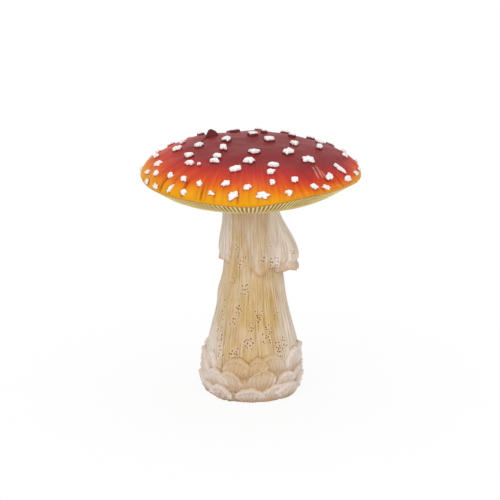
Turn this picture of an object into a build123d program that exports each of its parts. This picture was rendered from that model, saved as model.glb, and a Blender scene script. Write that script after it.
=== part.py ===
from build123d import *

import os
from math import cos, radians, sin, sqrt
from random import Random

# Toadstool ornament: a hollow stem, a gill disc and a domed cap, dressed with applied pieces.
# Millimetres, +Z up. The origin is the centre of the foot, on the surface that it stands on.
# A bearing is in degrees round the axis, 0 at the front (-Y) and positive towards +X.

# Stem, from the foot upwards
foot_radius = 24.5
foot_rise = 7.0
bulb_radius = 26.7
bulb_height = 15.0
lower_stem_radius = 23.4
lower_stem_rise = 18.5
upper_stem_radius = 18.5
upper_stem_rise = 25.0
neck_radius = 16.0
neck_rise = 22.5
neck_length = 23.4
stem_wall = 5.0
floor_thickness = 6.0
foot_ring_width = 7.5
foot_recess_depth = 1.5
vent_radius = 4.0

# Spigot on top of the stem, which goes into the gill disc's collar
shoulder_width = 2.0
spigot_length = 9.6
spigot_wall = 4.3

# Fibre furrows down the stem
furrow_count = 18
furrow_depth = 0.55
furrow_width = 0.9
furrow_wander = 4.0
furrow_wander_turn = 2.3
furrow_run_out = 7.0
furrow_neck_length = 16.0

# Cap: an elliptical dome with a rolled lip, hollow inside
cap_radius = 62.2
dome_rise = 20.0
lip_radius = 1.5
cap_wall = 4.7
rim_seat_width = 5.7
rim_wall_height = 5.0
crown_hollow_radius = 20.0
margin_groove_count = 32
margin_groove_depth = 0.9
margin_groove_width = 1.1
margin_groove_reach = 9.0
margin_groove_belly = 3.0
margin_groove_run_out = 0.45

# Gill disc: a shallow bowl under the cap, its profile given from the collar outwards
gill_count = 150
gill_gap_share = 0.5
gill_end_margin = 1.2
gill_bowl_drop = 16.0
gill_belly_setback = 13.5
gill_belly_drop = 9.2
gill_edge_setback = 2.7
gill_edge_thickness = 1.1
gill_plate_thickness = 2.6
collar_wall = 4.6
collar_height = 11.0
register_height = 2.5
register_width = 3.5

# Clearances and bonded joints
joint_gap = 0.25
bedding_gap = 0.05
neck_bond_thickness = 0.6
rim_bond_thickness = 0.3

# Torn skirt that hangs from the neck
skirt_thickness = 1.6
skirt_top_gap = 0.6
skirt_neck_share = 0.36
skirt_tear = 1.8
hem_corners = 6
hem_roll = 6.0

# Scales round the bulb, in rows that overlap upwards
scales_per_row = 12
flats_per_scale = 3
scale_length = 11.8
scale_row_rise = 7.6
scale_lift = 0.8
scale_root_thickness = 0.5
scale_tip_thickness = 1.4
scale_gap = 0.45
scale_root_share = 0.72
scale_head_share = 0.42
scale_head_angles = (0, 45, 90, 135, 180)
scale_unevenness = 1.4

# Warts on the dome
wart_heights = {"crown": 2.3, "upper": 2.1, "middle": 1.9, "shoulder": 1.6, "rim": 1.4}
wart_bedding = 0.9
wart_top_share = 0.72
wart_length_share = 0.85
wart_corners = 6
wart_ragged = 0.22

# Worked out from the sizes above
bulb_top = foot_rise + bulb_height
lower_stem_height = bulb_top + lower_stem_rise
upper_stem_height = lower_stem_height + upper_stem_rise
neck_height = upper_stem_height + neck_rise
shoulder_height = neck_height + neck_length
spigot_radius = neck_radius - shoulder_width
spigot_top = shoulder_height + spigot_length
spigot_bore = spigot_radius - spigot_wall
floor_top = foot_recess_depth + floor_thickness
collar_bore = spigot_radius + joint_gap
collar_radius = collar_bore + collar_wall
collar_seat = shoulder_height + neck_bond_thickness
collar_top = collar_seat + collar_height
rim_height = collar_seat + gill_bowl_drop
lip_bottom = rim_height - lip_radius
rim_inner_radius = cap_radius - lip_radius - rim_seat_width
disc_top = lip_bottom - rim_bond_thickness
disc_radius = cap_radius - gill_edge_setback
gill_belly_radius = disc_radius - gill_belly_setback
register_radius = rim_inner_radius - joint_gap
bowl_radius = register_radius - register_width
skirt_top = shoulder_height - skirt_top_gap
cutter_reach = cap_radius + 2 * lip_radius


def outward(bearing):
    """Unit vector that points away from the axis at this bearing."""
    return Vector(sin(radians(bearing)), -cos(radians(bearing)), 0)


def radial_plane(bearing):
    """Upright plane through the axis: x runs outwards, y is up."""
    direction = outward(bearing)
    return Plane((0, 0, 0), x_dir=direction, z_dir=direction.cross(Vector(0, 0, 1)))


def facing_plane(bearing):
    """Upright plane through the axis that looks outwards: x runs along the surface, y is up."""
    direction = outward(bearing)
    return Plane((0, 0, 0), x_dir=Vector(0, 0, 1).cross(direction), z_dir=direction)


def dome_height(reach):
    """Height of the dome's outside at this distance from the axis."""
    return rim_height + dome_rise * sqrt(1 - (reach / cap_radius) ** 2)


def dome_plane(bearing, reach):
    """Plane that touches the dome: x runs along the rim, y towards the crown, z straight out."""
    direction = outward(bearing)
    slope_out = reach / cap_radius**2
    slope_up = (dome_height(reach) - rim_height) / dome_rise**2
    place = direction * reach + Vector(0, 0, dome_height(reach))
    normal = direction * slope_out + Vector(0, 0, slope_up)
    return Plane(place, x_dir=Vector(0, 0, 1).cross(direction), z_dir=normal)


def save(piece, name):
    """Labels a finished piece and writes it to its own file."""
    piece.label = name
    export_step(piece, f"parts/{name}.step")


os.makedirs("parts", exist_ok=True)

# Stem: one revolved shell with a foot ring, a bulb, a slender neck and the spigot
with BuildPart() as furrow:
    with BuildSketch(radial_plane(0)):
        with BuildLine():
            Polyline(
                (bulb_radius, lower_stem_height - furrow_run_out),
                (lower_stem_radius - furrow_depth, lower_stem_height),
                (upper_stem_radius - furrow_depth, upper_stem_height),
                (neck_radius - furrow_depth, neck_height),
                (neck_radius + furrow_depth, neck_height + furrow_neck_length),
                (cutter_reach, neck_height + furrow_neck_length),
                (cutter_reach, lower_stem_height - furrow_run_out),
                close=True,
            )
        make_face()
    extrude(amount=furrow_width / 2, both=True)

with BuildPart() as stem:
    with BuildSketch(Plane.XZ):
        with BuildLine():
            Polyline((0, 0), (foot_radius, 0), (bulb_radius, foot_rise), (bulb_radius, bulb_top))
            flank = Spline(
                (bulb_radius, bulb_top),
                (lower_stem_radius, lower_stem_height),
                (upper_stem_radius, upper_stem_height),
                (neck_radius, neck_height),
                tangents=[(0, 1), (0, 1)],
            )
            Polyline(
                flank @ 1,
                (neck_radius, shoulder_height),
                (spigot_radius, shoulder_height),
                (spigot_radius, spigot_top),
                (0, spigot_top),
                (0, 0),
            )
        make_face()
    revolve(axis=Axis.Z)
    for number in range(furrow_count):
        bearing = 360 / furrow_count * number + furrow_wander * sin(furrow_wander_turn * number)
        add(furrow.part.rotate(Axis.Z, bearing), mode=Mode.SUBTRACT)
    with BuildSketch(Plane.XZ):
        with BuildLine():
            Polyline(
                (0, floor_top),
                (foot_radius - stem_wall, floor_top),
                (bulb_radius - stem_wall, bulb_top),
                (lower_stem_radius - stem_wall, lower_stem_height),
                (upper_stem_radius - stem_wall, upper_stem_height),
                (spigot_bore, neck_height),
                (spigot_bore, spigot_top),
                (0, spigot_top),
                close=True,
            )
        make_face()
    revolve(axis=Axis.Z, mode=Mode.SUBTRACT)
    with BuildSketch():
        Circle(foot_radius - foot_ring_width)
    extrude(amount=foot_recess_depth, mode=Mode.SUBTRACT)
    with BuildSketch():
        Circle(vent_radius)
    extrude(amount=floor_top, mode=Mode.SUBTRACT)
save(stem.part, "stem")

# Bond between the stem's shoulder and the gill disc's collar
with BuildPart() as neck_bond_ring:
    with BuildSketch(Plane.XY.offset(shoulder_height)):
        Circle(neck_radius)
        Circle(collar_bore, mode=Mode.SUBTRACT)
    extrude(amount=neck_bond_thickness)
save(neck_bond_ring.part, "neck_bond_ring")

# Gill disc: a many-sided bowl with a collar, whose sides are the crests of the gills.
# The gap between two gills is a wedge that is deepest at the belly and runs out at both ends
gill_crest = [
    (collar_radius, collar_seat),
    (gill_belly_radius, rim_height - gill_belly_drop),
    (disc_radius, disc_top - gill_edge_thickness),
    (disc_radius, disc_top),
]
gap_inner_radius = collar_radius + gill_end_margin
gap_outer_radius = disc_radius - gill_end_margin
gap_angle = radians(180 / gill_count * gill_gap_share)


def crest_height(reach):
    """Height of the gills' crests at this distance from the axis."""
    inner, outer = gill_crest[:2] if reach < gill_belly_radius else gill_crest[1:3]
    return inner[1] + (outer[1] - inner[1]) * (reach - inner[0]) / (outer[0] - inner[0])


with BuildPart() as gill_gap:
    with BuildSketch(radial_plane(0)):
        with BuildLine():
            Polyline(
                (gap_inner_radius, crest_height(gap_inner_radius)),
                (gap_outer_radius, crest_height(gap_outer_radius)),
                (gap_outer_radius, shoulder_height),
                (gap_inner_radius, shoulder_height),
                close=True,
            )
        make_face()
    extrude(amount=gap_outer_radius * gap_angle, both=True)
    with BuildSketch():
        with BuildLine():
            Polyline(
                (0, 0),
                (cutter_reach * sin(gap_angle), -cutter_reach * cos(gap_angle)),
                (-cutter_reach * sin(gap_angle), -cutter_reach * cos(gap_angle)),
                close=True,
            )
        make_face()
    extrude(amount=rim_height, mode=Mode.INTERSECT)

with BuildPart() as gill_disc:
    for reach, height in gill_crest:
        with BuildSketch(Plane.XY.offset(height)):
            RegularPolygon(reach, gill_count, rotation=180 / gill_count)
    loft(ruled=True)
    with BuildSketch(Plane.XZ):
        with BuildLine():
            Polyline(
                (0, collar_seat),
                (collar_bore, collar_seat),
                (collar_bore, collar_top),
                (collar_radius, collar_top),
                (collar_radius, collar_seat + gill_plate_thickness),
                (bowl_radius, disc_top),
                (0, disc_top),
                close=True,
            )
        make_face()
    revolve(axis=Axis.Z, mode=Mode.SUBTRACT)
    with BuildSketch(Plane.XY.offset(disc_top)):
        Circle(register_radius)
        Circle(bowl_radius, mode=Mode.SUBTRACT)
    extrude(amount=register_height)
    with PolarLocations(0, gill_count):
        add(gill_gap.part, mode=Mode.SUBTRACT)
save(gill_disc.part, "gill_disc")

# Bond between the gill disc and the underside of the rim
with BuildPart() as rim_bond_ring:
    with BuildSketch(Plane.XY.offset(disc_top)):
        Circle(disc_radius)
        Circle(rim_inner_radius, mode=Mode.SUBTRACT)
    extrude(amount=rim_bond_thickness)
save(rim_bond_ring.part, "rim_bond_ring")

# Cap shell: the dome, hollowed from below, with short furrows down its margin
groove_head = cap_radius - margin_groove_reach
groove_head_height = dome_height(groove_head) + margin_groove_run_out
groove_belly = cap_radius - margin_groove_belly
groove_foot_height = rim_height + margin_groove_run_out
with BuildPart() as margin_groove:
    with BuildSketch(radial_plane(0)):
        with BuildLine():
            Polyline(
                (groove_head, groove_head_height),
                (groove_belly, dome_height(groove_belly) - margin_groove_depth),
                (cap_radius + margin_groove_run_out, groove_foot_height),
                (cutter_reach, groove_foot_height),
                (cutter_reach, groove_head_height),
                close=True,
            )
        make_face()
    extrude(amount=margin_groove_width / 2, both=True)

with BuildPart() as cap_shell:
    with BuildSketch(Plane.XZ):
        with BuildLine():
            EllipticalCenterArc((0, rim_height), cap_radius, dome_rise)
            lip = CenterArc((cap_radius - lip_radius, rim_height), lip_radius, 0, -90)
            Polyline(
                lip @ 1,
                (rim_inner_radius, lip_bottom),
                (rim_inner_radius, lip_bottom + rim_wall_height),
                (crown_hollow_radius, dome_height(crown_hollow_radius) - cap_wall),
                (0, dome_height(0) - cap_wall),
                (0, dome_height(0)),
            )
        make_face()
    revolve(axis=Axis.Z)
    with PolarLocations(0, margin_groove_count, start_angle=90 + 180 / margin_groove_count):
        add(margin_groove.part, mode=Mode.SUBTRACT)
save(cap_shell.part, "cap_shell")


# Skirt: torn tongues of veil that hang from the neck and flare away from the stem
def skirt_flap(bearing, width, drop, stand, tuck, seed):
    """One tongue: a leaning band, cut to an outline with a torn hem."""
    ragged = Random(seed)
    hem = skirt_top - drop
    section = [
        (neck_radius + bedding_gap, skirt_top),
        (upper_stem_radius + stand, hem + hem_roll),
        (upper_stem_radius + stand - tuck, hem - skirt_tear),
    ]
    torn_hem = [
        (width * (corner / (hem_corners + 1) - 0.5), hem + skirt_tear * ragged.uniform(-1, 1))
        for corner in range(1, hem_corners + 1)
    ]
    with BuildPart() as flap:
        with BuildSketch(radial_plane(bearing - 90)):
            with BuildLine():
                outside = [(reach + skirt_thickness, height) for reach, height in section]
                Polyline(*section, *outside[::-1], close=True)
            make_face()
        revolve(axis=Axis.Z, revolution_arc=180)
        with BuildSketch(facing_plane(bearing)):
            with BuildLine():
                Polyline(
                    (-width * skirt_neck_share, skirt_top),
                    (-width / 2, hem + 2 * skirt_tear),
                    *torn_hem,
                    (width / 2, hem + 2 * skirt_tear),
                    (width * skirt_neck_share, skirt_top),
                    close=True,
                )
            make_face()
        extrude(amount=cap_radius, mode=Mode.INTERSECT)
    return flap.part


# Each has its name, bearing, width, drop from the neck, stand-off from the stem and tuck of its hem
flaps = [
    ("front", 18, 25, 35.3, 0.8, 0.6),
    ("right", 91, 27.5, 37.3, 5.9, 2.2),
    ("back_right", 152, 16, 32.0, 2.2, 0.8),
    ("back_left", -162, 16, 34.5, 1.4, 0.6),
    ("left", -92, 27, 31.3, -0.4, 0.2),
]
for seed, (name, *sizes) in enumerate(flaps):
    save(skirt_flap(*sizes, seed), f"skirt_flap_{name}")

# Scales: rows of petals whose roots lie on the bulb and whose tips stand in front of the next row
overlap_share = (scale_length - scale_row_rise) / scale_length
scale_lean = scale_root_thickness + scale_tip_thickness * overlap_share / (1 - overlap_share) + scale_gap
scale_pitch = 360 / scales_per_row


def core_radius(height):
    """Radius of the bulb's outside at this height."""
    return foot_radius + (bulb_radius - foot_radius) * min(height / foot_rise, 1)


def scale_back(root, height):
    """Radius of a petal's back: on the bulb at its root, clear of the bulb above."""
    return core_radius(height) + bedding_gap + scale_lean * (height - root) / scale_length


def scale_front(root, height):
    """Radius of a petal's face, which stands further off its back towards the tip."""
    swelling = (scale_tip_thickness - scale_root_thickness) * (height - root) / scale_length
    return scale_back(root, height) + scale_root_thickness + swelling


def scale_band(root):
    """Leaning ring of flats, the width of a few to a petal, that one row is cut from."""
    heights = sorted({root, max(root, foot_rise), root + scale_length})
    flats = scales_per_row * flats_per_scale
    with BuildPart() as band:
        for height in heights:
            with BuildSketch(Plane.XY.offset(height)):
                RegularPolygon(scale_front(root, height), flats, major_radius=False)
        loft(ruled=True)
        for height in heights:
            with BuildSketch(Plane.XY.offset(height)):
                RegularPolygon(scale_back(root, height), flats, major_radius=False)
        loft(ruled=True, mode=Mode.SUBTRACT)
    return band.part


def scale(band, root, bearing, droop):
    """One petal: the part of its row's ring within a round-headed outline."""
    width = 2 * scale_back(root, root) * sin(radians(scale_pitch / 2)) - 2 * scale_gap
    head_height = width * scale_head_share
    head_base = root + scale_length - droop - head_height
    head = [
        (width / 2 * cos(radians(angle)), head_base + head_height * sin(radians(angle)))
        for angle in scale_head_angles
    ]
    root_width = width * scale_root_share
    with BuildPart() as petal:
        with BuildSketch(facing_plane(bearing)):
            with BuildLine():
                Polyline(*head, (-root_width / 2, root), (root_width / 2, root), close=True)
            make_face()
        extrude(amount=cap_radius)
        add(band, mode=Mode.INTERSECT)
    return petal.part


uneven = Random(11)
for row, row_name in enumerate(("lower", "middle", "upper")):
    root = scale_lift + scale_row_rise * row
    band = scale_band(root)
    for number in range(scales_per_row):
        bearing = scale_pitch * (number + row % 2 / 2)
        petal = scale(band, root, bearing, scale_unevenness * uneven.random())
        save(petal, f"scale_{row_name}_{number + 1:02d}")

# Warts: chips of veil bedded on the dome, ring by ring from the crown outwards.
# Each has its bearing, its distance from the axis as a share of the cap's radius, its width
# along the rim and, where it is long or short for that, its length towards the crown
warts = {
    "crown": [
        (100, 0.17, 6.4), (-96, 0.21, 7.0), (-46, 0.34, 6.0), (4, 0.38, 5.7),
        (177, 0.22, 5.7), (85, 0.40, 5.2), (160, 0.36, 4.0),
    ],
    "upper": [
        (48, 0.45, 7.4), (-84, 0.48, 6.6), (-35, 0.51, 5.7), (-1, 0.55, 6.0), (-32, 0.60, 6.0, 3.4),
        (-129, 0.46, 5.7), (128, 0.49, 5.0), (18, 0.64, 5.3), (-62, 0.63, 5.5), (88, 0.62, 5.7),
        (-164, 0.53, 5.4),
    ],
    "middle": [
        (51, 0.66, 7.7), (-88, 0.67, 6.2), (-11, 0.70, 5.5), (-50, 0.71, 6.6, 4.2), (-41, 0.70, 2.0),
        (13, 0.75, 5.7, 3.6), (-110, 0.67, 4.5), (112, 0.67, 4.5), (150, 0.64, 5.2), (174, 0.70, 5.4),
        (-140, 0.72, 5.0), (134, 0.77, 4.8), (-165, 0.75, 5.2),
    ],
    "shoulder": [
        (-73, 0.86, 5.5), (-88, 0.85, 4.5), (92, 0.85, 4.5), (65, 0.86, 3.4, 7.6), (26, 0.87, 5.3),
        (12, 0.88, 4.6), (-14, 0.89, 4.8), (-41, 0.895, 4.8), (-52, 0.905, 4.5), (-29.5, 0.91, 4.2),
        (49, 0.91, 5.7), (-2, 0.915, 4.6), (-63.5, 0.93, 4.5), (107, 0.88, 4.6), (123, 0.87, 5.0),
        (140, 0.89, 4.6), (156, 0.88, 5.0), (172, 0.90, 4.8), (-172, 0.87, 4.6), (-156, 0.89, 5.0),
        (-140, 0.88, 4.4), (-124, 0.89, 4.8), (-106, 0.88, 4.6),
    ],
    "rim": [
        (35.5, 0.95, 4.4), (-75, 0.953, 4.0), (20, 0.965, 4.6), (6, 0.969, 6.8, 4.8), (-21, 0.965, 3.3),
        (-9, 0.969, 5.7, 4.8), (43, 0.974, 4.6), (62.5, 0.965, 5.0), (76, 0.965, 4.2), (87, 0.973, 3.6),
        (-37, 0.98, 4.2), (-46, 0.979, 3.2, 5.6), (-57, 0.987, 3.5), (-68, 0.988, 3.5), (-91, 0.98, 4.0),
        (102, 0.970, 4.2), (116, 0.975, 4.4), (131, 0.970, 4.6), (145, 0.975, 4.2), (160, 0.970, 5.0),
        (174, 0.975, 4.2), (-171, 0.970, 4.8), (-156, 0.975, 4.4), (-142, 0.970, 4.6), (-127, 0.975, 4.8),
        (-110, 0.970, 4.2),
    ],
}

with BuildPart() as wart_bed:
    with BuildSketch(Plane.XZ):
        with BuildLine():
            bed = EllipticalCenterArc((0, rim_height), cap_radius + bedding_gap, dome_rise + bedding_gap)
            Polyline(bed @ 1, (0, lip_bottom), (cap_radius + bedding_gap, lip_bottom), bed @ 0)
        make_face()
    revolve(axis=Axis.Z)

chipping = Random(5)


def wart(height, bearing, share, width, length=None):
    """One chip: a ragged polygon that narrows to a smaller top, cut to sit on the dome."""
    stretch = (length or width * wart_length_share) / width
    turn = chipping.uniform(0, 360)
    corners = []
    for corner in range(wart_corners):
        angle = radians(turn + 360 / wart_corners * corner)
        radius = width / 2 * (1 + wart_ragged * chipping.uniform(-1, 1))
        corners.append(Vector(radius * cos(angle), radius * sin(angle) * stretch))
    seat = dome_plane(bearing, share * cap_radius)
    with BuildPart() as chip:
        with BuildSketch(seat.offset(-wart_bedding)):
            with BuildLine():
                Polyline(*corners, close=True)
            make_face()
        with BuildSketch(seat.offset(height)):
            with BuildLine():
                Polyline(*[corner * wart_top_share for corner in corners], close=True)
            make_face()
        loft(ruled=True)
        add(wart_bed.part, mode=Mode.SUBTRACT)
    return chip.part


for ring, places in warts.items():
    chips = [wart(wart_heights[ring], *place) for place in places]
    with BuildPart() as ring_warts:
        add(chips)
    save(ring_warts.part, f"{ring}_warts")
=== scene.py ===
# %% [markdown]
# # A painted toadstool ornament
#
# The object is a standing fly agaric: a red cap with white warts, fine gills, a fibrous stem with a
# torn skirt, and a bulb dressed in petal-like scales. It was cast hollow, dressed by hand with small
# applied pieces, and painted cold with washes and a dry brush. The solids give the sizes and places.
# This lesson models the skin of each piece closely and then paints it.

# %% Load the solids as a fixed frame
import math
import random

import bmesh
import bpy
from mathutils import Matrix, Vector, geometry, noise


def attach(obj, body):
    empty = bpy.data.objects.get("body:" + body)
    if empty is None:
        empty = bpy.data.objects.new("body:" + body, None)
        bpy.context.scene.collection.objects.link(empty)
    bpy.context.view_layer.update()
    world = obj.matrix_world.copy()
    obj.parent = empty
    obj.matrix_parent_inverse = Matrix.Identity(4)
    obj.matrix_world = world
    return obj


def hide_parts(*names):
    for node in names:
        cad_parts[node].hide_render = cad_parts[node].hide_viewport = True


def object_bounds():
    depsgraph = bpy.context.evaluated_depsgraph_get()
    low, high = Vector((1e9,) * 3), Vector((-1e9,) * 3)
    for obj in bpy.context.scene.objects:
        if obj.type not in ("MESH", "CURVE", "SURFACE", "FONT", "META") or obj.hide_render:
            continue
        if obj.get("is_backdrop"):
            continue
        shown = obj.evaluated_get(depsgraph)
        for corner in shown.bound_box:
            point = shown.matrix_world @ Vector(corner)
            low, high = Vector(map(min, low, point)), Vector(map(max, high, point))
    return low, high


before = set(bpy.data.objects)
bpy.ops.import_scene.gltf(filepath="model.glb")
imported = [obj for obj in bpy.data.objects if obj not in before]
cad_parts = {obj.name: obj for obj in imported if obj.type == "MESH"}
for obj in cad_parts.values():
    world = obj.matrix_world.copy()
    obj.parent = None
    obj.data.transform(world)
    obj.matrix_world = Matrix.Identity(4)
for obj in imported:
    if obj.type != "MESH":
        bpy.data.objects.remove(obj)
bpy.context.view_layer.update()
mm = 0.001
scene = bpy.context.scene
scene.view_settings.view_transform = "Standard"

# %% [markdown]
# ## Camera
#
# The photographer stood well back with a long lens and looked a little down on the ornament, so the
# rim shows as a thin ellipse and the gills just show under it. A camera placed by an aim point, a
# distance and an elevation is easy to fit: the elevation follows from how round the rim looks.

# %% Place the camera
view_distance = 1500 * mm
view_elevation = math.radians(16.69)
view_aim = Vector((-0.5, 0, 83.5)) * mm

lens = bpy.data.cameras.new("camera")
lens.sensor_width = 36.0
lens.lens = 189.2
lens.clip_end = 50.0
camera = bpy.data.objects.new("camera", lens)
scene.collection.objects.link(camera)
camera.location = view_aim + view_distance * Vector((0, -math.cos(view_elevation), math.sin(view_elevation)))
camera.rotation_euler = (math.pi / 2 - view_elevation, 0, 0)
scene.camera = camera
print("camera at", [round(value, 3) for value in camera.location])

# %% [markdown]
# ## Helpers for shapes
#
# Nearly every piece goes round the stem, so places are given as a bearing (degrees round the axis,
# 0 at the front), a reach from the axis and a height, all in millimetres. A turned piece starts as
# its outline, is spun round the axis, and is then pushed about point by point, as a modeller works
# clay on a wheel. Pieces are scaled to metres only when they are finished.


# %% Shape helpers
def at(bearing, reach, height):
    """The point at this bearing, reach and height, in millimetres."""
    angle = math.radians(bearing)
    return Vector((reach * math.sin(angle), -reach * math.cos(angle), height))


def bearing_of(point):
    """Bearing of a point, from -180 to 180 degrees."""
    return math.degrees(math.atan2(point.x, -point.y))


def turn_between(first, second):
    """Difference of two bearings, from -180 to 180 degrees."""
    return (first - second + 180) % 360 - 180


def ease(start, end, value):
    """0 before start, 1 after end, and a smooth step between."""
    share = min(max((value - start) / (end - start), 0), 1)
    return share * share * (3 - 2 * share)


def bump(value, width):
    """1 in the middle, and gently down to 0 beyond the width on either side."""
    return math.exp(-((value / width) ** 2))


def grain(point, size, seed=0.0):
    """Smooth noise between about -1 and 1, whose lumps have this size in millimetres."""
    return noise.noise(Vector(point) / size + Vector((seed, seed * 0.7, seed * 1.3)))


def fibre(point, width, length, seed=0.0):
    """Noise drawn out upwards, like fibres of this width and length that follow the stem's flare."""
    around = at(bearing_of(point), 18 / width, point.z / length)
    return noise.noise(around + Vector((seed, 0, 0)))


def spun(outline, segments, ring=False):
    """Turns an outline of (reach, height) points round the axis. A ring's outline closes on itself."""
    shape = bmesh.new()
    points = [shape.verts.new((reach, 0, height)) for reach, height in outline]
    edges = [shape.edges.new(pair) for pair in zip(points, points[1:])]
    if ring:
        edges.append(shape.edges.new((points[-1], points[0])))
    bmesh.ops.spin(
        shape, geom=points + edges, cent=(0, 0, 0), axis=(0, 0, 1),
        angle=math.tau, steps=segments, use_merge=True,
    )
    bmesh.ops.remove_doubles(shape, verts=shape.verts, dist=0.0001)
    bmesh.ops.recalc_face_normals(shape, faces=shape.faces)
    return shape


def finished(shape, name, paint, slot, *nodes):
    """Makes a shape in millimetres into a smooth-shaded piece that stands for these solids."""
    bmesh.ops.scale(shape, vec=(mm, mm, mm), verts=shape.verts)
    mesh = bpy.data.meshes.new(name)
    shape.to_mesh(mesh)
    shape.free()
    mesh.polygons.foreach_set("use_smooth", [True] * len(mesh.polygons))
    mesh.materials.append(paint)
    piece = bpy.data.objects.new(name, mesh)
    scene.collection.objects.link(piece)
    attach(piece, "root")
    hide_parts(*nodes)
    print(name, "faces:", len(mesh.polygons), "stands for", len(nodes), "solids")
    return piece


# %% [markdown]
# ## Helpers for paint
#
# Every finish here is paint on a matte casting, so all of them use one shader and differ in colour,
# gloss and grain. Colours are written as a painter reads them off the object, in sRGB hex, and one
# function turns them into the linear values that the shader wants. One more adds a node.


# %% Paint helpers
def linear(hex_colour):
    """Linear RGBA of an sRGB hex colour such as "#F4F1EE"."""
    shares = [int(hex_colour[place:place + 2], 16) / 255 for place in (1, 3, 5)]
    return [s / 12.92 if s <= 0.04045 else ((s + 0.055) / 1.055) ** 2.4 for s in shares] + [1.0]


def add(tree, kind, settings=None, *values, stops=(), **inputs):
    """Adds a node with these settings. Values go to its sockets in order, and inputs go by name or,
    as in _6, by number. Each is a value to set, or a node or socket to link. Stops colour a ramp."""
    node = tree.nodes.new(kind)
    for setting, value in (settings or {}).items():
        setattr(node, setting, value)
    sockets = dict(enumerate(values))
    for name, value in inputs.items():
        sockets[int(name[1:]) if name[0] == "_" else name.replace("_", " ")] = value
    for key, value in sockets.items():
        if isinstance(value, bpy.types.Node):
            value = value.outputs[0]
        if isinstance(value, bpy.types.NodeSocket):
            tree.links.new(value, node.inputs[key])
        else:
            node.inputs[key].default_value = value
    for number, (place, colour) in enumerate(stops):
        elements = node.color_ramp.elements
        element = elements[number] if number < len(elements) else elements.new(place)
        element.position = place
        element.color = linear(colour)
    return node


def new_paint(name):
    """An empty material: returns it, its node tree, its shader and its Object coordinates."""
    paint = bpy.data.materials.new(name)
    paint.use_nodes = True
    tree = paint.node_tree
    shader = tree.nodes["Principled BSDF"]
    where = add(tree, "ShaderNodeTexCoord").outputs["Object"]
    return paint, tree, shader, where


print("paint helpers ready")

# %% [markdown]
# ## Cap paint
#
# The cap is airbrushed: maroon on the crown, then red, orange, and a golden rim. Streaks run from
# the crown to the rim, because the brush followed the radial furrows. The colour therefore depends
# on the slope of the dome, 0 on the crown and 1 at the rim, shifted by noise that is wide along the
# radius and narrow round the rim. A satin varnish gives a soft sheen.

# %% Mix the cap paint
cap_radius = 62.2
dome_rise = 20.0
rim_height = 128.0
streak_width = 1.4
multiply = {"data_type": "RGBA", "blend_type": "MULTIPLY"}
mix = {"data_type": "RGBA"}


def cap_colour(tree, where):
    """The airbrushed colour of the cap at these Object coordinates, and its streak noise."""
    axes = add(tree, "ShaderNodeSeparateXYZ", None, where)
    flat = add(tree, "ShaderNodeVectorMath", {"operation": "MULTIPLY"}, where, (1, 1, 0))
    reach = add(tree, "ShaderNodeVectorMath", {"operation": "LENGTH"}, flat).outputs["Value"]
    across = add(tree, "ShaderNodeMath", {"operation": "DIVIDE"}, reach, cap_radius * mm)
    above = add(tree, "ShaderNodeMath", {"operation": "SUBTRACT"}, axes.outputs["Z"], rim_height * mm)
    upward = add(tree, "ShaderNodeMath", {"operation": "DIVIDE"}, above, dome_rise * mm)
    slope = add(tree, "ShaderNodeMath", {"operation": "ARCTAN2"}, across, upward)
    share = add(tree, "ShaderNodeMath", {"operation": "DIVIDE"}, slope, math.pi / 2)
    around = add(tree, "ShaderNodeVectorMath", {"operation": "NORMALIZE"}, flat)
    stretched = add(tree, "ShaderNodeMath", {"operation": "MULTIPLY"}, share, 2.5)
    lift = add(tree, "ShaderNodeCombineXYZ", None, 0, 0, stretched)
    spread = [cap_radius / streak_width] * 3
    drawn_out = add(tree, "ShaderNodeVectorMath", {"operation": "MULTIPLY_ADD"}, around, spread, lift)
    streak = add(tree, "ShaderNodeTexNoise", Vector=drawn_out, Scale=1.0, Detail=4.0, Roughness=0.65)
    cloud = add(tree, "ShaderNodeTexNoise", Vector=where, Scale=1 / (16 * mm), Detail=2.0)
    # the red runs further down on the right, and only the last of the rim there is gold
    rightness = add(
        tree, "ShaderNodeMapRange", {"interpolation_type": "SMOOTHSTEP"},
        axes.outputs["X"], 8 * mm, 58 * mm, 1.0, 2.2,
    )
    pushed = add(tree, "ShaderNodeMath", {"operation": "POWER"}, share, rightness)
    pushes = [
        (streak, 0.3, -0.15), (cloud, 0.16, -0.08), (axes.outputs["X"], -0.5, -0.01),
        (rightness, 0.06, -0.06),
    ]
    for push, strength, offset in pushes:
        pushed = add(
            tree, "ShaderNodeMath", {"operation": "ADD"}, pushed,
            add(tree, "ShaderNodeMath", {"operation": "MULTIPLY_ADD"}, push, strength, offset),
        )
    colour = add(tree, "ShaderNodeValToRGB", None, pushed, stops=[
        (0.0, "#7A1A1E"), (0.4, "#861C20"), (0.53, "#B3281E"), (0.65, "#CC431C"),
        (0.75, "#DD6618"), (0.83, "#E6860E"), (0.96, "#EBA20C"),
    ])
    return colour, streak


cap_paint, tree, shader, where = new_paint("satin_airbrushed_paint_on_ceramic")
colour, streak = cap_colour(tree, where)
# painted shade: the furrows and the crack are painted a darker orange-brown, the deeper ones darker
painted_furrow_shade = add(tree, "ShaderNodeAttribute", {"attribute_name": "furrow"}).outputs["Fac"]
shaded = add(tree, "ShaderNodeMix", multiply, _0=painted_furrow_shade, _6=colour, _7=linear("#B06A4C"))
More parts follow.
